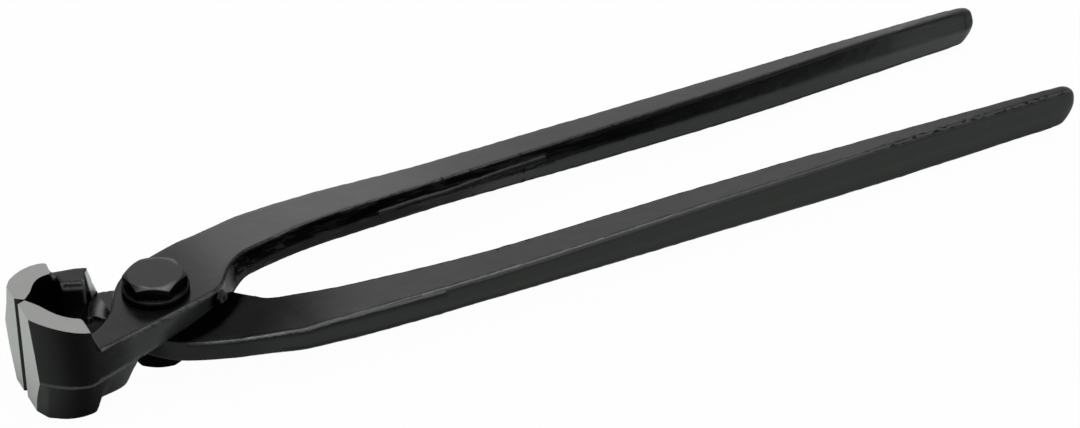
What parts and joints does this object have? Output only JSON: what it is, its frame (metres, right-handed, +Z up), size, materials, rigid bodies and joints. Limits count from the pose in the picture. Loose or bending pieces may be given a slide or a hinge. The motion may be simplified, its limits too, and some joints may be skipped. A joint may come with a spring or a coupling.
{
  "type": "rebar tying pliers",
  "caption": "Long-handled end-cutting pliers for tying and snipping wire: two crossed forged levers on a hexagon-head pivot bolt, dark lacquered with ground jaw faces.",
  "frame": {"origin": "middle of the closed tool's length and width, at the lowest edge of the jaws, where the head rests on a surface", "axes": "+X from the jaws towards the handle ends, +Z up along the pivot bolt towards its head, +Y towards the handle of the upper lever"},
  "size_m": [0.2792, 0.0496, 0.0266],
  "materials": {
    "lacquered_steel": "satin black lacquer over forged steel, bright where the jaws are ground",
    "blackened_steel": "satin black oxide"
  },
  "bodies": {
    "lower": {"lower_lever": "lacquered_steel", "pivot_bolt": "blackened_steel", "head_washer": "blackened_steel", "pivot_nut": "blackened_steel"},
    "upper": {"upper_lever": "lacquered_steel"}
  },
  "joints": [
    {"name": "pivot_hinge", "type": "hinge", "parent": "lower", "child": "upper", "pos_m": [-0.1064, 0.0014, 0.0128], "axis": [0, 0, 1], "range_deg": [0, 38]}
  ]
}
